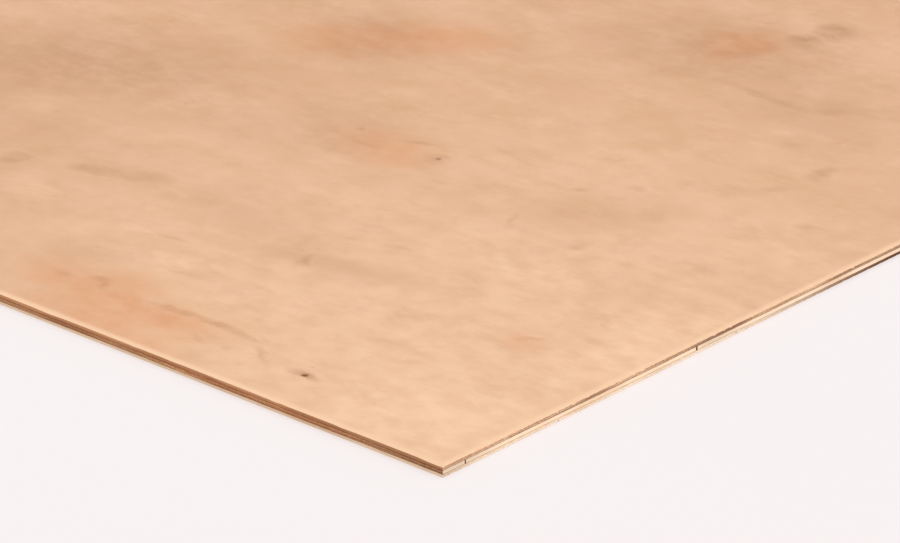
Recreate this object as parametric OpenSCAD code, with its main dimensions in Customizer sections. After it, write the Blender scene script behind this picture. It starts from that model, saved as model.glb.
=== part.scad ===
// Three-ply hardwood plywood sheet, lying flat with its back veneer down.
// Origin: the middle of the underside. X runs along the grain of the faces,
// Y across it, and Z up. All sizes are in millimetres.

/* [Sheet] */
// Length, along the grain of the face and back veneers
sheet_length = 2440; // [1200:10:3100]
// Width, across the grain of the face and back veneers
sheet_width = 1220; // [600:10:1600]

/* [Plies] */
// Thickness of the face veneer after sanding
face_ply = 1.1; // [0.5:0.1:2]
// Thickness of the core veneer, whose grain runs along Y
core_ply = 1.4; // [0.8:0.1:4]
// Thickness of the back veneer after sanding
back_ply = 1.1; // [0.5:0.1:2]

/* [Splits in the core, open at the +X edge] */
// Distance of the first split from the -Y edge
first_split_at = 10; // [4:0.5:60]
// Width of the first split at the sawn edge
first_split_width = 0.7; // [0.4:0.1:4]
// Depth to which the first split runs in
first_split_depth = 5; // [2:0.5:30]
// Distance of the second split from the -Y edge
second_split_at = 120; // [70:0.5:400]
// Width of the second split at the sawn edge
second_split_width = 1; // [0.4:0.1:4]
// Depth to which the second split runs in
second_split_depth = 4; // [2:0.5:30]

/* [Hidden] */

// Heights at which the plies meet
core_base = back_ply;
face_base = core_base + core_ply;

// How far a cut runs past the surface that it opens
overcut = 1;

face_colour = [0.93, 0.77, 0.62];
core_colour = [0.86, 0.70, 0.53];
back_colour = [0.88, 0.70, 0.54];

// One veneer over the whole sheet, with its lower side at the height of base.
module veneer(thickness, base) {
    translate([-sheet_length / 2, -sheet_width / 2, base])
        cube([sheet_length, sheet_width, thickness]);
}

// A split right through the core: full width at the +X edge, closing to a point.
module core_split(from_edge, width, depth) {
    translate([sheet_length / 2, -sheet_width / 2 + from_edge, core_base - overcut])
        linear_extrude(core_ply + 2 * overcut)
            polygon([
                [overcut, -width / 2],
                [overcut, width / 2],
                [0, width / 2],
                [-depth, 0],
                [0, -width / 2],
            ]);
}

module back_veneer() {
    color(back_colour) veneer(back_ply, 0);
}

module core_veneer() {
    color(core_colour)
        difference() {
            veneer(core_ply, core_base);
            core_split(first_split_at, first_split_width, first_split_depth);
            core_split(second_split_at, second_split_width, second_split_depth);
        }
}

module face_veneer() {
    color(face_colour) veneer(face_ply, face_base);
}

face_veneer();
core_veneer();
back_veneer();
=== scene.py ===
import math

import bmesh
import bpy
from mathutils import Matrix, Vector


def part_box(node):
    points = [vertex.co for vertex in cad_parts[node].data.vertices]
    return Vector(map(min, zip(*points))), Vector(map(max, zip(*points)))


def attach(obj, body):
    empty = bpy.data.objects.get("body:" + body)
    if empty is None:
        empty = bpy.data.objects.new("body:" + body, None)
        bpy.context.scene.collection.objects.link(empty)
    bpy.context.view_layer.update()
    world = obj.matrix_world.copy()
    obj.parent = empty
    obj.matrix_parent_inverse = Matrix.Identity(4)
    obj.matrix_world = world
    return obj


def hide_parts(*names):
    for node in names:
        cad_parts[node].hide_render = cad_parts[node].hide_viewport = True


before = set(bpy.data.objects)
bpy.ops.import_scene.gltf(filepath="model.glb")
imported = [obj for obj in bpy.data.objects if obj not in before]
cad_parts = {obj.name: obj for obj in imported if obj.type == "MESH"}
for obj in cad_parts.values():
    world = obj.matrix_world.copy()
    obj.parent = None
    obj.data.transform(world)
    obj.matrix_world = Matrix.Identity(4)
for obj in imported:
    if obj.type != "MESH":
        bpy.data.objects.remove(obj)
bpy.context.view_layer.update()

# Back veneer. The bottom ply of the sheet: one hardwood veneer peeled from the log, laid with its
# grain along the length, glued under the core and sanded. It is sawn to size with the other two,
# so its long edges show side grain and its short edges show end grain.

back_low, back_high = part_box("back_veneer")
corner = Vector((back_high.x, back_low.y, 0.0))

# How finely the veneers are modelled: well near this corner, and more plainly over the rest.
fine_reach = 0.24
fine_cell, plain_cell = 0.005, 0.04
fine_step, plain_step = 0.0003, 0.0027
wall_rows = 4
shortest_cell = 0.0012
shortest_upright = 0.0005
same_place = 1e-6

# The four kinds of side that a veneer has, each with a material of its own.
sanded_slot, glued_slot, long_edge_slot, short_edge_slot = range(4)


def select_only(veneer, kind, test):
    """Selects the edges or faces of the mesh being edited that pass a test."""
    bpy.ops.mesh.select_mode(type="EDGE" if kind == "edges" else "FACE")
    bpy.ops.mesh.select_all(action="DESELECT")
    mesh = bmesh.from_edit_mesh(veneer.data)
    for part in getattr(mesh, kind):
        if test(part):
            part.select_set(True)
    bmesh.update_edit_mesh(veneer.data)


def runs_along(edge, axis):
    """Says if an edge runs along an axis."""
    span = edge.verts[1].co - edge.verts[0].co
    return abs(span[axis]) > 0.9 * span.length


def middle(edge):
    """The middle of an edge."""
    return (edge.verts[0].co + edge.verts[1].co) / 2


def in_fine_part(place, axis):
    """Says if a place lies in the part along one axis that is modelled finely."""
    return abs(place[axis] - corner[axis]) < fine_reach


def fold_out(veneer, layout):
    """Lays the six sides of a block out on a map, each in its own (left, bottom, right, top)."""
    bake_map = veneer.data.uv_layers.new(name="OFBake")
    low, high = Vector(veneer.bound_box[0]), Vector(veneer.bound_box[6])
    for face in veneer.data.polygons:
        side = max(range(3), key=lambda axis: abs(face.normal[axis]))
        left, bottom, right, top = layout["xyz"[side] + ("+" if face.normal[side] > 0 else "-")]
        across, up = [axis for axis in range(3) if axis != side]
        for loop in face.loop_indices:
            point = veneer.data.vertices[veneer.data.loops[loop].vertex_index].co
            share_across = (point[across] - low[across]) / (high[across] - low[across])
            share_up = (point[up] - low[up]) / (high[up] - low[up])
            bake_map.data[loop].uv = (
                left + (right - left) * share_across,
                bottom + (top - bottom) * share_up,
            )


def start_veneer(name, low, high, sanded, layout):
    """A veneer as a block with its sides told apart, ready to be shaped. sanded is +1 up, -1 down or 0."""
    bpy.ops.object.select_all(action="DESELECT")
    bpy.ops.mesh.primitive_cube_add(size=1, location=(low + high) / 2, scale=high - low)
    veneer = bpy.context.active_object
    veneer.name = name
    bpy.ops.object.transform_apply()
    for face in veneer.data.polygons:
        if abs(face.normal.z) > 0.5:
            face.material_index = sanded_slot if face.normal.z * sanded > 0.5 else glued_slot
        else:
            face.material_index = long_edge_slot if abs(face.normal.y) > 0.5 else short_edge_slot
    fold_out(veneer, layout)
    bpy.ops.object.mode_set(mode="EDIT")
    for axis, inward in ((0, -1), (1, 1)):
        place = corner.copy()
        place[axis] += inward * fine_reach
        bpy.ops.mesh.select_all(action="SELECT")
        bpy.ops.mesh.bisect(plane_co=place, plane_no=(axis == 0, axis == 1, 0))
    for axis in (0, 1):
        rest = high[axis] - low[axis] - fine_reach
        for fine, length, cell in ((True, fine_reach, fine_cell), (False, rest, plain_cell)):
            select_only(
                veneer,
                "edges",
                lambda edge: runs_along(edge, axis) and in_fine_part(middle(edge), axis) == fine,
            )
            bpy.ops.mesh.subdivide(number_cuts=round(length / cell) - 1)
    return veneer


# The rim of a sanded side, in strips from its edge inwards, and the wear of its arrises.
rim_steps = (0.0006, 0.001, 0.0014)
rim_width = sum(rim_steps)
worn_arris = 0.0002


def work_the_edges(veneer, low, high, sanded):
    """Gives the sanded side its rim, wears the arrises and divides the sawn edges finely."""
    if sanded:
        select_only(veneer, "faces", lambda face: face.normal.z * sanded > 0.01)
        for step in rim_steps:
            bpy.ops.mesh.inset(thickness=step)
    outer = high.z if sanded > 0 else low.z

    def is_arris(edge):
        at = middle(edge)
        sides = (high.x - abs(at.x) < same_place) + (high.y - abs(at.y) < same_place)
        return sides == 2 or (sanded and sides == 1 and abs(at.z - outer) < same_place)

    select_only(veneer, "edges", is_arris)
    bpy.ops.mesh.bevel(offset=worn_arris, segments=2, affect="EDGES")
    select_only(
        veneer,
        "edges",
        lambda edge: runs_along(edge, 2)
        and edge.calc_length() > shortest_upright
        and min(high.x - abs(middle(edge).x), high.y - abs(middle(edge).y)) < worn_arris,
    )
    bpy.ops.mesh.subdivide(number_cuts=wall_rows - 1)
    for axis in (0, 1):
        for fine, cell, step in ((True, fine_cell, fine_step), (False, plain_cell, plain_step)):

            def in_rim(edge):
                at = middle(edge)
                return (
                    runs_along(edge, axis)
                    and edge.calc_length() > shortest_cell
                    and high[1 - axis] - abs(at[1 - axis]) < rim_width + worn_arris / 2
                    and in_fine_part(at, axis) == fine
                )

            select_only(veneer, "edges", in_rim)
            bpy.ops.mesh.subdivide(number_cuts=round(cell / step) - 1)
    bpy.ops.mesh.select_all(action="DESELECT")
    bpy.ops.object.mode_set(mode="OBJECT")


def weigh(veneer, name, weight):
    """Makes a group of points, each with the weight that a rule gives its place."""
    group = veneer.vertex_groups.new(name=name)
    for point in veneer.data.vertices:
        amount = weight(point.co)
        if amount > 0:
            group.add([point.index], amount, "REPLACE")


def roughen(veneer, points, pattern, direction, depth, grain=(1, 1, 1), level=0.5):
    """Moves a group of points by a cloudy pattern that is drawn out along the grain."""
    bpy.ops.object.empty_add(location=(0, 0, 0))
    stretch = bpy.context.active_object
    stretch.scale = grain
    bpy.ops.object.select_all(action="DESELECT")
    bpy.context.view_layer.objects.active = veneer
    move = veneer.modifiers.new("roughen", "DISPLACE")
    move.vertex_group = points
    move.texture = pattern
    move.texture_coords = "OBJECT"
    move.texture_coords_object = stretch
    move.direction = direction
    move.strength = depth
    move.mid_level = level
    bpy.ops.object.modifier_apply(modifier=move.name)
    bpy.data.objects.remove(stretch)


def cloudy(name, size, peaks_only=False):
    """A cloudy pattern of one size of lump. With peaks_only, all but its peaks are flat."""
    pattern = bpy.data.textures.new(name, "CLOUDS")
    pattern.noise_scale = size
    pattern.noise_depth = 2
    pattern.use_clamp = True
    if peaks_only:
        pattern.contrast = 5
        pattern.intensity = 0
    return pattern


saw_wander = cloudy("saw wander", 0.12)
torn_fibres = cloudy("torn fibres", 0.0007)
lifted_fibres = cloudy("lifted fibres", 0.0012)
arris_chips = cloudy("arris chips", 0.0016, peaks_only=True)

# How far each of these goes, and how long its lumps are drawn out along the grain.
wander_depth = 0.0006
torn_depth = 0.00022
lifted_depth = 0.00012
end_chip_depth = 0.0007
side_chip_depth = 0.00025
chip_reach = 0.0004
fibre_stretch = 9
chip_stretch = 2.5
wall_depth = 0.00002


def rough_edges(veneer, low, high, sanded, grain_axis):
    """Saw wander all round, torn end grain, fibrous side grain and small chips on the sanded arris."""
    grain = Vector((1, 1, 1))
    grain[grain_axis] = fibre_stretch
    end, side = grain_axis, 1 - grain_axis

    def inset_of(place, axis):
        return high[axis] - abs(place[axis])

    def on_wall(axis):
        return lambda place: 1.0 if inset_of(place, axis) < wall_depth else 0.0

    def near_rim(axis):
        return lambda place: max(0.0, 1 - inset_of(place, axis) / rim_width)

    for axis in (0, 1):
        weigh(veneer, f"rim {axis}", near_rim(axis))
        roughen(veneer, f"rim {axis}", saw_wander, "XY"[axis], wander_depth)
    weigh(veneer, "end wall", on_wall(end))
    weigh(veneer, "side wall", on_wall(side))
    roughen(veneer, "end wall", torn_fibres, "XY"[end], torn_depth, level=0.45)
    roughen(veneer, "side wall", lifted_fibres, "XY"[side], lifted_depth, grain)
    if sanded:
        outer = high.z if sanded > 0 else low.z

        def on_arris(axis):
            def weight(place):
                drop = abs(place.z - outer)
                near = max(0.0, 1 - inset_of(place, axis) / rim_width)
                return near**2 * max(0.0, 1 - drop / chip_reach)

            return weight

        weigh(veneer, "end arris", on_arris(end))
        weigh(veneer, "side arris", on_arris(side))
        stretch = grain.copy()
        stretch[grain_axis] = chip_stretch
        roughen(veneer, "end arris", arris_chips, "Z", -end_chip_depth * sanded, stretch, level=0)
        roughen(veneer, "side arris", arris_chips, "Z", -side_chip_depth * sanded, grain, level=0)


def feed(tree, socket, value):
    """Sets an input to a number, a colour or what another node puts out."""
    if isinstance(value, bpy.types.Node):
        value = next(output for output in value.outputs if output.enabled)
    if isinstance(value, bpy.types.NodeSocket):
        tree.links.new(value, socket)
    else:
        socket.default_value = value


def add(tree, kind, feeds, **settings):
    """Adds a node with its settings and feeds its inputs."""
    made = tree.nodes.new("ShaderNode" + kind)
    for name, value in settings.items():
        setattr(made, name, value)
    for socket, value in feeds.items():
        feed(tree, made.inputs[socket], value)
    return made


def maths(tree, operation, first, second=0.0, clamp=False):
    """A sum of two values."""
    return add(tree, "Math", {0: first, 1: second}, operation=operation, use_clamp=clamp)


def times(tree, value, share):
    """A share of a value."""
    return maths(tree, "MULTIPLY", value, share)


def times_plus(tree, value, share, more):
    """A share of a value with another value added."""
    return add(tree, "Math", {0: value, 1: share, 2: more}, operation="MULTIPLY_ADD")


def ramp(tree, value, start, end, low=0.0, high=1.0):
    """A value eased from low to high as another goes from start to end, and flat outside them."""
    feeds = {"Value": value, "From Min": start, "From Max": end, "To Min": low, "To Max": high}
    return add(tree, "MapRange", feeds, interpolation_type="SMOOTHSTEP", clamp=False)


def blend(tree, amount, first, second):
    """A colour between two colours."""
    return add(tree, "Mix", {0: amount, 6: first, 7: second}, data_type="RGBA").outputs[2]


def lumps(tree, place, sizes, detail=2.0, rough=0.5):
    """A cloudy value from 0 to 1 whose lumps have these sizes along X, Y and Z."""
    drawn = add(tree, "Mapping", {"Vector": place, "Scale": [1 / size for size in sizes]})
    feeds = {"Vector": drawn, "Scale": 1.0, "Detail": detail, "Roughness": rough}
    return add(tree, "TexNoise", feeds).outputs[0]


def colour(red, green, blue):
    """A colour given as it looks on a screen, from 0 to 1, as the shaders need it."""
    channels = [c / 12.92 if c <= 0.04045 else ((c + 0.055) / 1.055) ** 2.4 for c in (red, green, blue)]
    return (*channels, 1.0)


def start_group(name, outputs):
    """Starts a node group that reads a place and puts out one value for each name."""
    group = bpy.data.node_groups.new(name, "ShaderNodeTree")
    group.interface.new_socket("Place", in_out="INPUT", socket_type="NodeSocketVector")
    for output in outputs:
        group.interface.new_socket(output, in_out="OUTPUT", socket_type="NodeSocketFloat")
    entry = group.nodes.new("NodeGroupInput")
    return group, entry.outputs["Place"], group.nodes.new("NodeGroupOutput")


# Growth rings and tones as a peeling knife lays them open: soft shapes drawn out along the grain.
figure_outputs = ("Tone", "Warmth", "Rings", "Wisps", "Blush", "Stain", "Light flecks", "Dark flecks")
peeled_figure, place, result = start_group("peeled figure", figure_outputs)
slope = lumps(peeled_figure, place, (0.75, 0.16, 1.0), 2.0, 0.4)
wobble = lumps(peeled_figure, place, (0.09, 0.022, 1.0), 3.0)
turns = times_plus(peeled_figure, slope, 10.0, times(peeled_figure, wobble, 1.1))
between = maths(peeled_figure, "PINGPONG", turns, 1.0)
fading = ramp(peeled_figure, lumps(peeled_figure, place, (0.25, 0.08, 1.0)), 0.36, 0.60)
late_wood = ramp(peeled_figure, between, 0.6, 0.0)
feed(peeled_figure, result.inputs["Rings"], times(peeled_figure, late_wood, fading))
broad = lumps(peeled_figure, place, (0.13, 0.065, 1.0), 2.0)
small = lumps(peeled_figure, place, (0.022, 0.018, 1.0), 3.0, 0.6)
tone = times_plus(peeled_figure, small, 0.55, times(peeled_figure, broad, 0.45))
feed(peeled_figure, result.inputs["Tone"], ramp(peeled_figure, tone, 0.36, 0.74))
warmth = lumps(peeled_figure, place, (0.035, 0.026, 2.0), 3.0, 0.55)
feed(peeled_figure, result.inputs["Warmth"], ramp(peeled_figure, warmth, 0.36, 0.64))
curl = lumps(peeled_figure, place, (0.034, 0.020, 3.0), 3.0, 0.6)
off_line = maths(peeled_figure, "ABSOLUTE", maths(peeled_figure, "SUBTRACT", curl, 0.5))
thin = ramp(peeled_figure, off_line, 0.07, 0.0)
some = ramp(peeled_figure, lumps(peeled_figure, place, (0.026, 0.018, 4.0), 2.0), 0.54, 0.70)
feed(peeled_figure, result.inputs["Wisps"], times(peeled_figure, thin, some))
cloud = lumps(peeled_figure, place, (0.10, 0.06, 1.0), 4.0, 0.6)
feed(peeled_figure, result.inputs["Blush"], ramp(peeled_figure, cloud, 0.56, 0.78))
stain = lumps(peeled_figure, place, (0.24, 0.10, 5.0), 4.0, 0.6)
feed(peeled_figure, result.inputs["Stain"], ramp(peeled_figure, stain, 0.54, 0.74))
fleck = lumps(peeled_figure, place, (0.0075, 0.0045, 1.0), 2.0, 0.6)
cluster = ramp(peeled_figure, lumps(peeled_figure, place, (0.030, 0.020, 6.0), 2.0), 0.40, 0.60)
for output, start, end in (("Light flecks", 0.53, 0.66), ("Dark flecks", 0.47, 0.34)):
    flecks = times(peeled_figure, ramp(peeled_figure, fleck, start, end), cluster)
    feed(peeled_figure, result.inputs[output], flecks)

# Fine fibres and the short open pores between them, along X.
wood_fibres, place, result = start_group("wood fibres", ("Fibre", "Pores"))
fine = lumps(wood_fibres, place, (0.035, 0.0009, 0.0009), 3.0, 0.6)
streak = lumps(wood_fibres, place, (0.09, 0.0035, 0.0035), 2.0)
fibre = maths(wood_fibres, "ADD", fine, streak)
feed(wood_fibres, result.inputs["Fibre"], ramp(wood_fibres, fibre, 0.7, 1.3))
pore = lumps(wood_fibres, place, (0.0035, 0.0004, 0.0004), 1.0)
feed(wood_fibres, result.inputs["Pores"], ramp(wood_fibres, pore, 0.62, 0.78))

# What the saw leaves on a cut edge: upright tooth marks, and places that it scorched or tore.
saw_cut, place, result = start_group("saw cut", ("Marks", "Scorch", "Tears"))
parts = add(saw_cut, "SeparateXYZ", {0: place})
run = maths(saw_cut, "ADD", parts.outputs[0], parts.outputs[1])
along_edge = add(saw_cut, "CombineXYZ", {0: run, 2: parts.outputs[2]})
marks = lumps(saw_cut, along_edge, (0.0009, 1.0, 0.009), 2.0)
feed(saw_cut, result.inputs["Marks"], ramp(saw_cut, marks, 0.3, 0.7))
scorch = lumps(saw_cut, along_edge, (0.030, 1.0, 0.005), 5.0, 0.62)
feed(saw_cut, result.inputs["Scorch"], ramp(saw_cut, scorch, 0.42, 0.64))
tears = lumps(saw_cut, along_edge, (0.0016, 1.0, 0.0008), 3.0, 0.65)
feed(saw_cut, result.inputs["Tears"], ramp(saw_cut, tears, 0.56, 0.74))


def start_material(name):
    """A material with its shader and the places that its patterns read."""
    material = bpy.data.materials.new(name)
    material.use_nodes = True
    tree = material.node_tree
    shader = tree.nodes["Principled BSDF"]
    shader.inputs["Specular IOR Level"].default_value = 0.3
    return material, tree, shader, add(tree, "TexCoord", {}).outputs["Object"]


def use(tree, group, place):
    """Puts a node group to work at a place."""
    placed = tree.nodes.new("ShaderNodeGroup")
    placed.node_tree = group
    feed(tree, placed.inputs["Place"], place)
    return placed.outputs


def raise_by(tree, shader, height, distance):
    """Gives the shader a relief of so many metres."""
    feeds = {"Height": height, "Distance": distance, "Strength": 1.0}
    feed(tree, shader.inputs["Normal"], add(tree, "Bump", feeds))


def along_grain(tree, place, grain_axis):
    """Turns a place so that the grain runs along X."""
    turn = (0.0, 0.0, 0.0 if grain_axis == 0 else math.pi / 2)
    return add(tree, "Mapping", {"Vector": place, "Rotation": turn})


# The glue is a thin brown film at two heights in the sheet.
glue_brown = colour(0.38, 0.23, 0.135)
glue_lines = (back_high.z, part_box("face_veneer")[0].z)
glue_reach = 0.0004


def glue_shadow(tree, place):
    """Dark where the edge of a ply meets a glue line."""
    height = add(tree, "SeparateXYZ", {0: place}).outputs[2]
    waver = lumps(tree, place, (0.004, 0.004, 1.0), 2.0)
    shadow = None
    for line in glue_lines:
        off = maths(tree, "ABSOLUTE", maths(tree, "SUBTRACT", height, line))
        reach = times(tree, waver, glue_reach)
        near = maths(tree, "SUBTRACT", 1.0, maths(tree, "DIVIDE", off, reach), clamp=True)
        shadow = near if shadow is None else maths(tree, "MAXIMUM", shadow, near)
    return shadow


def scorch_and_shade(tree, place, axis, runs, elsewhere):
    """Where a ply's edge is darkened: given runs, mostly saw scorch and in one place painted shadow, and
    chance scorch further along.

    A run is where it starts, where it is full, where it fades, where it ends and its strength.
    """
    part = add(tree, "SeparateXYZ", {0: place}).outputs[axis]
    along = maths(tree, "ABSOLUTE", maths(tree, "SUBTRACT", part, corner[axis]))
    chance = lumps(tree, place, (0.30, 0.22, 1.0), 3.0)
    chance = ramp(tree, chance, 0.5, 0.62, 0.0, elsewhere)
    total = times(tree, chance, ramp(tree, along, 0.34, 0.42))
    for start, full, fading, end, strength in runs:
        run = ramp(tree, along, start, full, 0.0, strength)
        run = times(tree, run, ramp(tree, along, end, fading))
        total = maths(tree, "MAXIMUM", total, run)
    return total


def sawn_side_grain(name, grain_axis, pale, brown, runs=(), elsewhere=0.0):
    """A ply's edge that is sawn along the grain: straight fibres, smooth and rather pale."""
    material, tree, shader, place = start_material(name)
    wood = use(tree, wood_fibres, along_grain(tree, place, grain_axis))
    cut = use(tree, saw_cut, place)
    stain = times_plus(tree, cut["Scorch"], 0.45, times(tree, wood["Fibre"], 0.4))
    surface = blend(tree, stain, pale, brown)
    surface = blend(tree, times(tree, cut["Tears"], 0.35), surface, brown)
    surface = blend(tree, scorch_and_shade(tree, place, grain_axis, runs, elsewhere), surface, glue_brown)
    surface = blend(tree, times(tree, glue_shadow(tree, place), 0.7), surface, glue_brown)
    feed(tree, shader.inputs["Base Color"], surface)
    feed(tree, shader.inputs["Roughness"], ramp(tree, wood["Fibre"], 0.0, 1.0, 0.62, 0.78))
    relief = maths(tree, "ADD", wood["Fibre"], cut["Marks"])
    raise_by(tree, shader, relief, distance=0.00004)
    return material


def sawn_end_grain(name, grain_axis, light, dark, glued=0.8, runs=(), elsewhere=0.0):
    """A ply's edge that is sawn across the grain: dark open fibre ends, scorched and torn in places, with
    painted shadow where a run gives it.
    """
    material, tree, shader, place = start_material(name)
    cut = use(tree, saw_cut, place)
    ends = lumps(tree, place, (0.0006, 0.0006, 0.0003), 3.0, 0.7)
    layers = lumps(tree, place, (0.02, 0.02, 0.00025), 2.0)
    depth = times_plus(tree, ends, 0.5, times(tree, layers, 0.5))
    surface = blend(tree, ramp(tree, depth, 0.36, 0.64), light, dark)
    surface = blend(tree, times(tree, cut["Scorch"], 0.6), surface, dark)
    surface = blend(tree, scorch_and_shade(tree, place, 1 - grain_axis, runs, elsewhere), surface, glue_brown)
    surface = blend(tree, times(tree, cut["Tears"], 0.6), surface, glue_brown)
    surface = blend(tree, times(tree, glue_shadow(tree, place), glued), surface, glue_brown)
    feed(tree, shader.inputs["Base Color"], surface)
    feed(tree, shader.inputs["Roughness"], ramp(tree, depth, 0.3, 0.7, 0.72, 0.88))
    relief = maths(tree, "SUBTRACT", maths(tree, "ADD", depth, cut["Marks"]), cut["Tears"])
    raise_by(tree, shader, relief, distance=0.00006)
    return material


def glued_side(name, pale, brown):
    """The side of a ply that the glue was spread on: bare veneer with a thin brown film of it."""
    material, tree, shader, place = start_material(name)
    wood = use(tree, wood_fibres, place)
    spread = lumps(tree, place, (0.03, 0.012, 1.0), 4.0, 0.6)
    surface = blend(tree, ramp(tree, spread, 0.3, 0.7, 0.35, 0.8), pale, brown)
    surface = blend(tree, times(tree, wood["Fibre"], 0.3), surface, brown)
    feed(tree, shader.inputs["Base Color"], surface)
    feed(tree, shader.inputs["Roughness"], ramp(tree, spread, 0.3, 0.7, 0.5, 0.75))
    raise_by(tree, shader, maths(tree, "ADD", wood["Fibre"], spread), distance=0.00005)
    return material


def finish_veneer(veneer, node, materials):
    """Gives a veneer its materials and lets it stand for its node."""
    for material in materials:
        veneer.data.materials.append(material)
    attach(veneer, "root")
    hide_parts(node)


# Where each side lies when the outer veneers are unfolded flat, the sanded side largest.
outer_layout = {
    "z-": (0.002, 0.235, 0.998, 0.998),
    "y-": (0.002, 0.165, 0.998, 0.225),
    "y+": (0.002, 0.095, 0.998, 0.155),
    "x+": (0.002, 0.025, 0.495, 0.085),
    "x-": (0.505, 0.025, 0.998, 0.085),
    "z+": (0.002, 0.002, 0.2, 0.018),
}
back = start_veneer("back_veneer_sawn", back_low, back_high, sanded=-1, layout=outer_layout)
work_the_edges(back, back_low, back_high, sanded=-1)
rough_edges(back, back_low, back_high, sanded=-1, grain_axis=0)


# How far in the painted highlight along the edges starts, where it is strongest, and how strong it is.
paler_from, palest_at, paleness = 0.0035, 0.0008, 0.9


def painted_edge_highlight(tree, place):
    """A painted highlight: the last few millimetres along the edges of the sheet, made paler."""
    parts = add(tree, "SeparateXYZ", {0: place})
    from_end = maths(tree, "SUBTRACT", back_high.x, maths(tree, "ABSOLUTE", parts.outputs[0]))
    from_side = maths(tree, "SUBTRACT", back_high.y, maths(tree, "ABSOLUTE", parts.outputs[1]))
    inset = maths(tree, "MINIMUM", from_end, from_side)
    return ramp(tree, inset, paler_from, palest_at, 0.0, paleness)


# How strongly each part of the figure and of the grain shows on a sanded side.
shows = {
    "Warmth": 0.45,
    "Light flecks": 0.115,
    "Stain": 0.45,
    "Blush": 0.75,
    "Dark flecks": 0.08,
    "Wisps": 0.16,
    "Fibre": 0.045,
    "Pores": 0.16,
}
pins_per_metre = 4.2


def sanded_side(name, shift, fair_and_lit, pale, tan, rosy, brown, blush, dark, marks=None):
    """The show side of a face or back veneer: peeled, pressed and sanded."""
    material, tree, shader, place = start_material(name)
    moved = add(tree, "Mapping", {"Vector": place, "Location": shift})
    figure = use(tree, peeled_figure, moved)
    wood = use(tree, wood_fibres, moved)
    spots = marks(tree, place) if marks else {}
    free = spots.get("free", 1.0)

    def shown(part):
        return times(tree, figure[part], shows[part])

    surface = blend(tree, figure["Tone"], tan, pale)
    surface = blend(tree, shown("Warmth"), surface, rosy)
    mottle = ramp(tree, lumps(tree, moved, (0.011, 0.008, 1.0), 3.0, 0.55), 0.3, 0.7, 0.5, 1.0)
    # Paler in the fair patches of the wood, and in the painted pool of light round the near corner.
    if marks:
        surface = blend(tree, times(tree, spots["fair_and_lit"], mottle), surface, fair_and_lit)
    surface = blend(tree, shown("Light flecks"), surface, fair_and_lit)
    drawn = times_plus(tree, free, 0.20, 0.12)
    surface = blend(tree, times(tree, figure["Rings"], drawn), surface, brown)
    surface = blend(tree, times(tree, shown("Stain"), free), surface, brown)
    surface = blend(tree, times(tree, shown("Blush"), free), surface, blush)
    for kind, stain in (("blush", blush), ("brown", brown), ("veins", brown)):
        if kind in spots:
            surface = blend(tree, times(tree, spots[kind], mottle), surface, stain)
    surface = blend(tree, shown("Dark flecks"), surface, brown)
    surface = blend(tree, shown("Wisps"), surface, brown)
    feeds = {"Vector": place, "Scale": pins_per_metre, "Randomness": 1.0}
    cell = add(tree, "TexVoronoi", feeds).outputs["Distance"]
    pins = times(tree, ramp(tree, cell, 0.0085, 0.004), free)
    halo = times(tree, ramp(tree, cell, 0.05, 0.005, 0.0, 0.4), free)
    surface = blend(tree, halo, surface, brown)
    if "pins" in spots:
        pins = maths(tree, "MAXIMUM", pins, spots["pins"])
    # Painted highlight: paler along the edges of the sheet.
    surface = blend(tree, painted_edge_highlight(tree, place), surface, fair_and_lit)
    grain = times(tree, maths(tree, "SUBTRACT", 1.0, wood["Fibre"]), shows["Fibre"])
    surface = blend(tree, grain, surface, brown)
    surface = blend(tree, times(tree, wood["Pores"], shows["Pores"]), surface, brown)
    surface = blend(tree, pins, surface, dark)
    feed(tree, shader.inputs["Base Color"], surface)
    feed(tree, shader.inputs["Roughness"], ramp(tree, wood["Fibre"], 0.0, 1.0, 0.5, 0.62))
    relief = maths(tree, "SUBTRACT", wood["Fibre"], times(tree, wood["Pores"], 0.8))
    relief = maths(tree, "SUBTRACT", relief, times(tree, pins, 6.0))
    raise_by(tree, shader, relief, distance=0.00003)
    return material


back_materials = (
    sanded_side(
        "back_sanded",
        shift=(3.1, 1.7, 0.0),
        fair_and_lit=colour(0.95, 0.80, 0.66),
        pale=colour(0.92, 0.75, 0.605),
        tan=colour(0.855, 0.665, 0.51),
        rosy=colour(0.885, 0.695, 0.56),
        brown=colour(0.73, 0.545, 0.40),
        blush=colour(0.82, 0.59, 0.43),
        dark=colour(0.40, 0.23, 0.13),
    ),
    glued_side("back_glued", colour(0.85, 0.67, 0.51), colour(0.55, 0.38, 0.25)),
    sawn_side_grain(
        "back_side_grain",
        grain_axis=0,
        pale=colour(0.975, 0.86, 0.73),
        brown=colour(0.87, 0.72, 0.58),
        elsewhere=0.4,
    ),
    sawn_end_grain(
        "back_end_grain",
        grain_axis=0,
        light=colour(0.985, 0.90, 0.80),
        dark=colour(0.90, 0.78, 0.65),
        glued=0.35,
        # The second run is painted shadow: a dark band on the back ply's short edge, 0.13 m to 0.42 m from
        # the corner.
        runs=((-0.01, 0.0, 0.004, 0.020, 0.30), (0.13, 0.225, 0.34, 0.42, 1.0)),
        elsewhere=0.6,
    ),
)
finish_veneer(back, "back_veneer", back_materials)

# Core veneer. The middle ply: a thicker hardwood veneer laid with its grain across the sheet and
# glued between the other two, so that the sheet stays flat. Its fibre ends show brown on the long
# edges, and two small drying splits have opened in its short edge near the corner.

core_low, core_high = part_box("core_veneer")
# Unfolded flat, the core's long sawn edges are largest, because its two wide sides are hidden.
core_layout = {
    "y-": (0.002, 0.75, 0.998, 0.998),
    "y+": (0.002, 0.49, 0.998, 0.74),
    "x+": (0.002, 0.24, 0.495, 0.48),
    "x-": (0.505, 0.24, 0.998, 0.48),
    "z+": (0.002, 0.002, 0.45, 0.23),
    "z-": (0.505, 0.002, 0.95, 0.23),
}
core = start_veneer("core_veneer_sawn", core_low, core_high, sanded=0, layout=core_layout)
work_the_edges(core, core_low, core_high, sanded=0)
rough_edges(core, core_low, core_high, sanded=0, grain_axis=1)

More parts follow.
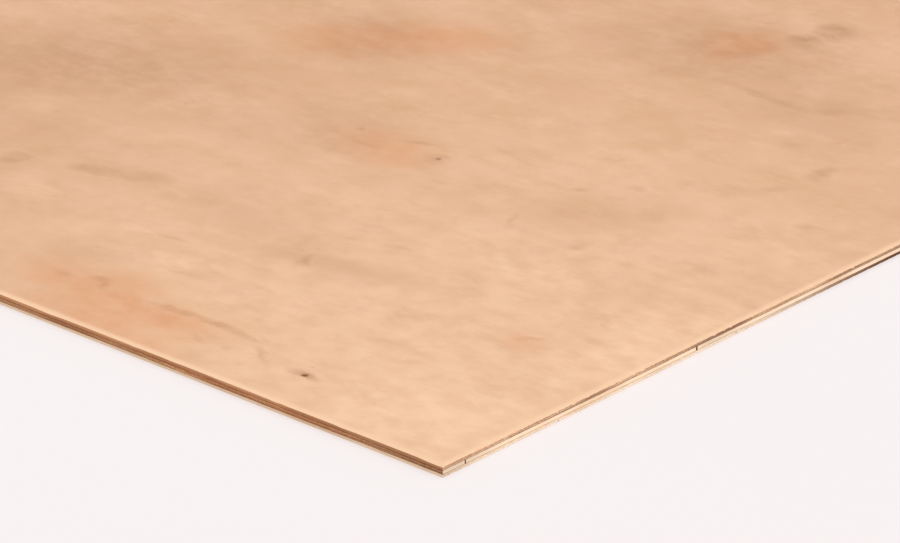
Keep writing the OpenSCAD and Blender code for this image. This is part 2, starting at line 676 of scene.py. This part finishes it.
# The core has no sanded side, so its first material shows nowhere and only keeps the slots in step.
# It isn't the second one over again, because cutting the splits would merge the two slots.
core_materials = (
    glued_side("core_glued", colour(0.86, 0.69, 0.53), colour(0.55, 0.38, 0.25)),
    glued_side("core_glued_other", colour(0.86, 0.69, 0.53), colour(0.55, 0.38, 0.25)),
    sawn_end_grain(
        "core_end_grain",
        grain_axis=1,
        light=colour(0.93, 0.69, 0.49),
        dark=colour(0.655, 0.405, 0.24),
        runs=((-0.01, 0.0, 0.014, 0.050, 0.48), (0.108, 0.130, 0.190, 0.260, 0.24)),
        elsewhere=0.35,
    ),
    sawn_side_grain(
        "core_side_grain",
        grain_axis=1,
        pale=colour(0.985, 0.875, 0.755),
        brown=colour(0.90, 0.75, 0.61),
        runs=((-0.01, 0.0, 0.008, 0.032, 0.26), (0.118, 0.126, 0.134, 0.150, 0.20)),
        elsewhere=0.25,
    ),
)
finish_veneer(core, "core_veneer", core_materials)

first_split = {"from_edge": 0.010, "width": 0.0007, "depth": 0.005}
second_split = {"from_edge": 0.120, "width": 0.0010, "depth": 0.004}


def cut_split(veneer, low, high, from_edge, width, depth):
    """Cuts a ragged wedge through a ply, open at the short edge and closing to a point."""
    bpy.ops.object.select_all(action="DESELECT")
    overcut = 0.001
    raggedness = 0.08
    bpy.ops.mesh.primitive_cube_add(
        size=1,
        location=(high.x + (overcut - depth) / 2, low.y + from_edge, (low.z + high.z) / 2),
        scale=(depth + overcut, width, high.z - low.z + overcut),
    )
    wedge = bpy.context.active_object
    bpy.ops.object.transform_apply()
    for material in veneer.data.materials:
        wedge.data.materials.append(material)
    for side in wedge.data.polygons:
        side.material_index = long_edge_slot
    bpy.ops.object.mode_set(mode="EDIT")
    inner = high.x - depth
    select_only(wedge, "edges", lambda edge: abs(middle(edge).x - inner) < same_place)
    bpy.ops.transform.resize(value=(1, 0.05, 1))
    bpy.ops.mesh.select_all(action="SELECT")
    bpy.ops.mesh.subdivide(number_cuts=8)
    bpy.ops.transform.vertex_random(offset=width * raggedness, seed=4)
    bpy.ops.object.mode_set(mode="OBJECT")
    bpy.ops.object.select_all(action="DESELECT")
    bpy.context.view_layer.objects.active = veneer
    cut = veneer.modifiers.new("split", "BOOLEAN")
    cut.object = wedge
    cut.operation = "DIFFERENCE"
    cut.solver = "MANIFOLD"
    bpy.ops.object.modifier_apply(modifier=cut.name)
    bpy.data.objects.remove(wedge)


cut_split(core, core_low, core_high, **first_split)
cut_split(core, core_low, core_high, **second_split)

# Face veneer. The top ply and the show side: the best of the three peeled veneers, laid with its
# grain along the length, glued over the core and sanded. Near one corner it has open pin knots,
# brown veins and reddish clouds, as the log grew them.

face_low, face_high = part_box("face_veneer")
face_layout = dict(outer_layout)
face_layout["z+"], face_layout["z-"] = outer_layout["z-"], outer_layout["z+"]


knot_cuts = 11
knot_squash = 1.3
knot_bottom, knot_slope = 0.55, 0.7


def dig_knot(veneer, along, across, radius, depth):
    """Sinks a small open pin knot into the sanded side, at a distance from the corner."""
    spot = Vector((corner.x - along, corner.y + across, face_high.z))
    near = fine_cell * 0.8

    def is_near_knot(face):
        return face.normal.z > 0.9 and (face.calc_center_median() - spot).length < near

    select_only(veneer, "faces", is_near_knot)
    bpy.ops.mesh.subdivide(number_cuts=knot_cuts)
    bpy.ops.mesh.select_mode(type="VERT")
    bpy.ops.mesh.select_all(action="DESELECT")
    mesh = bmesh.from_edit_mesh(veneer.data)
    for point in mesh.verts:
        off = point.co - spot
        if math.hypot(off.x, off.y * knot_squash) < radius * knot_bottom and abs(off.z) < same_place:
            point.select_set(True)
    bmesh.update_edit_mesh(veneer.data)
    bpy.ops.transform.translate(
        value=(0, 0, -depth),
        use_proportional_edit=True,
        proportional_edit_falloff="SMOOTH",
        proportional_size=radius * knot_slope,
    )


large_knot = (0.0760, 0.0203)
small_knot = (0.1640, 0.1805)
faint_knot = (0.2025, 0.1830)
face = start_veneer("face_veneer_sawn", face_low, face_high, sanded=1, layout=face_layout)
dig_knot(face, *large_knot, radius=0.0016, depth=0.00035)
dig_knot(face, *small_knot, radius=0.0013, depth=0.00020)
dig_knot(face, *faint_knot, radius=0.0013, depth=0.00010)
work_the_edges(face, face_low, face_high, sanded=1)
rough_edges(face, face_low, face_high, sanded=1, grain_axis=0)

# The marks near the corner. All but one grew with this veneer; the first fair one is a broad painted pool
# of light round the corner itself. Each is its distance from the corner along the grain and across it,
# its half length and half width, its turn and its strength.
grown_marks_and_light_pool = {
    "fair_and_lit": (
        # Painted light: this first broad mark makes the face paler all round the near corner, a pool of
        # light.
        (0.000, 0.000, 0.300, 0.300, 0, 0.62),
        (0.020, 0.020, 0.095, 0.070, 0, 0.9),
        (0.012, 0.105, 0.030, 0.070, 0, 0.9),
        (0.012, 0.064, 0.020, 0.022, 0, 0.8),
        (0.100, 0.066, 0.080, 0.020, 0, 0.4),
        (0.075, 0.125, 0.040, 0.022, 0, 0.7),
        (0.236, 0.138, 0.036, 0.020, 0, 0.3),
        (0.164, 0.060, 0.026, 0.011, 0, 0.7),
        (0.250, 0.066, 0.020, 0.012, 0, 0.6),
        (0.199, 0.067, 0.012, 0.006, 0, 0.5),
        (0.100, 0.016, 0.016, 0.008, 0, 0.5),
    ),
    "brown": (
        (0.195, 0.042, 0.018, 0.008, -20, 0.30),
        (0.170, 0.096, 0.060, 0.014, 8, 0.24),
        (0.130, 0.089, 0.046, 0.009, -12, 0.44),
        (0.140, 0.088, 0.012, 0.008, 0, 0.30),
        (0.245, 0.095, 0.015, 0.006, -18, 0.75),
        (0.229, 0.101, 0.014, 0.006, -25, 0.55),
        (0.274, 0.084, 0.008, 0.007, -15, 0.75),
        (0.138, 0.086, 0.008, 0.0045, 70, 0.80),
        (0.145, 0.090, 0.006, 0.003, 20, 0.45),
        (0.260, 0.252, 0.026, 0.040, -40, 0.50),
        (0.320, 0.165, 0.080, 0.045, -25, 0.65),
        (0.280, 0.085, 0.070, 0.070, 0, 0.22),
        (0.215, 0.175, 0.034, 0.030, 0, 0.40),
        (0.242, 0.163, 0.034, 0.024, 0, 0.34),
        (0.155, 0.330, 0.060, 0.040, 0, 0.60),
        (0.140, 0.354, 0.010, 0.012, -20, 1.00),
        (0.137, 0.370, 0.010, 0.012, -60, 1.00),
        (0.095, 0.300, 0.050, 0.025, 0, 0.35),
        (0.080, 0.272, 0.007, 0.004, -50, 0.35),
        (0.060, 0.236, 0.006, 0.003, -45, 0.35),
        (0.057, 0.257, 0.008, 0.005, 85, 0.85),
        (0.070, 0.284, 0.002, 0.002, 0, 0.50),
        (0.032, 0.217, 0.005, 0.003, -10, 0.35),
        (0.093, 0.180, 0.034, 0.018, -36, 0.38),
        (0.078, 0.190, 0.014, 0.010, -40, 0.40),
        (0.096, 0.205, 0.005, 0.003, 0, 0.40),
        (0.109, 0.191, 0.005, 0.003, -25, 0.40),
        (0.106, 0.176, 0.005, 0.003, -45, 0.30),
        (0.078, 0.154, 0.006, 0.004, -70, 0.50),
        (*large_knot, 0.0055, 0.0035, 0, 0.80),
        (*faint_knot, 0.004, 0.004, 0, 0.50),
        (*small_knot, 0.006, 0.005, 0, 0.60),
    ),
    "blush": (
        (0.168, 0.023, 0.030, 0.020, 0, 0.82),
        (0.188, 0.024, 0.022, 0.016, 0, 0.55),
        (0.144, 0.020, 0.038, 0.018, -8, 0.80),
        (0.150, 0.005, 0.046, 0.011, 0, 0.75),
        (0.132, 0.030, 0.024, 0.008, -5, 0.55),
        (0.186, 0.177, 0.028, 0.018, 0, 0.60),
        (0.041, 0.085, 0.012, 0.010, 0, 0.45),
        (0.088, 0.178, 0.030, 0.016, -30, 0.20),
        (0.154, 0.337, 0.016, 0.022, 0, 1.00),
        (0.255, 0.256, 0.048, 0.022, -42, 0.78),
    ),
    "veins": (
        (0.141, 0.0285, 0.016, 0.0020, -8, 0.50),
        (0.123, 0.030, 0.010, 0.0022, 0, 0.58),
        (0.111, 0.029, 0.010, 0.0018, 8, 0.48),
        (0.096, 0.022, 0.010, 0.0016, 35, 0.42),
        (0.103, 0.031, 0.004, 0.0014, 30, 0.30),
        (0.108, 0.018, 0.003, 0.0020, 60, 0.30),
        (0.189, 0.025, 0.005, 0.0025, -5, 0.50),
        (0.177, 0.030, 0.005, 0.0025, -8, 0.50),
        (0.172, 0.027, 0.005, 0.0020, 55, 0.60),
        (0.120, 0.018, 0.006, 0.0018, 12, 0.30),
        (0.183, 0.070, 0.006, 0.0016, -12, 0.40),
        (0.160, 0.051, 0.008, 0.0016, -5, 0.30),
        (0.142, 0.071, 0.004, 0.0014, -20, 0.30),
        (0.121, 0.114, 0.006, 0.0018, -15, 0.32),
        (0.073, 0.056, 0.009, 0.0020, -15, 0.25),
        (0.125, 0.303, 0.016, 0.0030, 5, 0.45),
        (0.104, 0.301, 0.014, 0.0032, 3, 0.50),
        (0.086, 0.309, 0.016, 0.0038, -42, 0.45),
        (0.109, 0.156, 0.009, 0.0016, 65, 0.30),
        (0.148, 0.200, 0.011, 0.0014, 12, 0.25),
        (0.178, 0.187, 0.008, 0.0020, -18, 0.55),
        (0.193, 0.174, 0.010, 0.0020, 0, 0.40),
        (0.041, 0.088, 0.008, 0.0018, -40, 0.35),
    ),
    "pins": (
        (*large_knot, 0.0014, 0.0014, 0, 1.0),
        (0.0780, 0.0260, 0.0014, 0.0006, -75, 0.2),
        (*small_knot, 0.0012, 0.0013, 0, 0.55),
        (*faint_knot, 0.0015, 0.0012, 0, 0.15),
    ),
}


# How far the outline of each kind of mark wanders, and how far its edge fades out.
waver = {"fair_and_lit": 0.020, "blush": 0.012, "brown": 0.006, "veins": 0.004, "pins": 0.0008}
soft_edge = 1.3


def face_marks(tree, place):
    """Each kind of mark as one value, and how free the rest of the face is of them."""
    from_corner = {"Vector": place, "Location": (corner.x, -corner.y, 0), "Scale": (-1, 1, 0)}
    at = add(tree, "Mapping", from_corner)
    values = {}
    for kind, size in waver.items():
        ragged = add(tree, "Mapping", {"Vector": place, "Scale": (0.5 / size, 1 / size, 1.0)})
        feeds = {"Vector": ragged, "Scale": 1.0, "Detail": 5.0, "Roughness": 0.6}
        push = add(tree, "TexNoise", feeds).outputs["Color"]
        push = add(tree, "VectorMath", {0: push, 1: (0.5, 0.5, 0.5)}, operation="SUBTRACT")
        push = add(tree, "VectorMath", {0: push, "Scale": size * 1.5}, operation="SCALE")
        pushed = add(tree, "VectorMath", {0: at, 1: push}, operation="ADD")
        total = None
        for along, across, half_length, half_width, turn, strength in grown_marks_and_light_pool[kind]:
            feeds = {
                "Vector": pushed,
                "Location": (along, across, 0.0),
                "Rotation": (0.0, 0.0, math.radians(turn)),
                "Scale": (half_length * soft_edge, half_width * soft_edge, soft_edge),
            }
            placed = add(tree, "Mapping", feeds, vector_type="TEXTURE")
            inward = add(tree, "TexGradient", {"Vector": placed}, gradient_type="SPHERICAL")
            mark = ramp(tree, inward.outputs["Fac"], 0.0, 0.92, 0.0, strength)
            total = mark if total is None else maths(tree, "MAXIMUM", total, mark)
        values[kind] = total
    reach = add(tree, "VectorMath", {0: at}, operation="LENGTH").outputs["Value"]
    values["free"] = ramp(tree, reach, 0.38, 0.5)
    return values


face_materials = (
    sanded_side(
        "face_sanded",
        shift=(0.0, 0.0, 0.0),
        fair_and_lit=colour(0.975, 0.812, 0.664),
        pale=colour(0.917, 0.742, 0.599),
        tan=colour(0.852, 0.661, 0.505),
        rosy=colour(0.887, 0.691, 0.556),
        brown=colour(0.755, 0.560, 0.408),
        blush=colour(0.860, 0.600, 0.414),
        dark=colour(0.50, 0.25, 0.09),
        marks=face_marks,
    ),
    glued_side("face_glued", colour(0.88, 0.71, 0.56), colour(0.55, 0.38, 0.25)),
    sawn_side_grain(
        "face_side_grain",
        grain_axis=0,
        pale=colour(0.83, 0.59, 0.41),
        brown=colour(0.64, 0.41, 0.25),
        runs=((-0.01, 0.0, 0.02, 0.07, 0.30),),
        elsewhere=0.3,
    ),
    sawn_end_grain(
        "face_end_grain",
        grain_axis=0,
        light=colour(0.92, 0.76, 0.62),
        dark=colour(0.62, 0.44, 0.31),
        runs=(
            (0.046, 0.057, 0.068, 0.082, 0.24),
            (0.112, 0.124, 0.136, 0.152, 0.60),
            (0.180, 0.200, 0.240, 0.300, 0.34),
        ),
        elsewhere=0.4,
    ),
)
finish_veneer(face, "face_veneer", face_materials)

# Studio floor. One broad sheet of pale matt paper that the plywood lies on. A little light comes up
# through it, so that only a faint soft shadow shows under the edges.

floor_size = 40
floor_glow = 0.472
under_sheet = -0.0001
bpy.ops.object.select_all(action="DESELECT")
bpy.ops.mesh.primitive_plane_add(size=floor_size, location=(0, 0, under_sheet))
floor = bpy.context.active_object
floor.name = "studio_floor"
floor_material, tree, shader, place = start_material("studio_floor")
speckle = lumps(tree, place, (0.4, 0.4, 1.0), 3.0)
paper = blend(tree, speckle, colour(0.700, 0.676, 0.676), colour(0.695, 0.681, 0.681))
glow = blend(tree, speckle, colour(1.0, 0.97, 0.97), colour(0.995, 0.975, 0.975))
feed(tree, shader.inputs["Base Color"], paper)
feed(tree, shader.inputs["Emission Color"], glow)
shader.inputs["Emission Strength"].default_value = floor_glow
shader.inputs["Roughness"].default_value = 0.9
floor.data.materials.append(floor_material)

# Studio light. White walls all round, one broad soft lamp straight above the sheet, and a lower one
# off its short end, which makes the short sawn edge brighter than the long one.

wall_light = 0.55
scene = bpy.context.scene
scene.view_settings.view_transform = "Standard"
world = bpy.data.worlds.new("studio")
scene.world = world
world.use_nodes = True
world.node_tree.nodes["Background"].inputs["Color"].default_value = (1, 1, 1, 1)
world.node_tree.nodes["Background"].inputs["Strength"].default_value = wall_light


def hang_light(name, turn, height, spread, strength):
    """A broad soft light, far off at a turn round the sheet and a height, both in degrees."""
    bpy.ops.object.light_add(type="SUN", location=(0, 0, 3))
    light = bpy.context.active_object
    light.name = name
    light.rotation_euler = (0, math.radians(90 - height), math.radians(turn))
    light.data.angle = math.radians(spread)
    light.data.energy = strength


hang_light("overhead", turn=0, height=90, spread=70, strength=1.015)
hang_light("key", turn=0, height=30, spread=30, strength=1.178)

# Camera. It looks down over the near corner through a long lens, so that the face shows with both
# of its sawn edges. It stands back from the corner, then slides across and up, which sets the
# corner low in the view.

view_turn = math.radians(41.8)
view_tilt = math.radians(23.5)
stand_off = 1.411
slide_across = 0.0021
slide_up = 0.0583
lens_length = 189.4
farthest_seen = 100
forward = Vector((
    -math.sin(view_turn) * math.cos(view_tilt),
    math.cos(view_turn) * math.cos(view_tilt),
    -math.sin(view_tilt),
))
right = Vector((math.cos(view_turn), math.sin(view_turn), 0))
upward = right.cross(forward)
near_corner = Vector((face_high.x, face_low.y, face_high.z))
bpy.ops.object.camera_add(
    location=near_corner - stand_off * forward + slide_across * right + slide_up * upward,
    rotation=(math.pi / 2 - view_tilt, 0, view_turn),
)
camera = bpy.context.active_object
camera.data.lens = lens_length
camera.data.clip_end = farthest_seen
scene.camera = camera
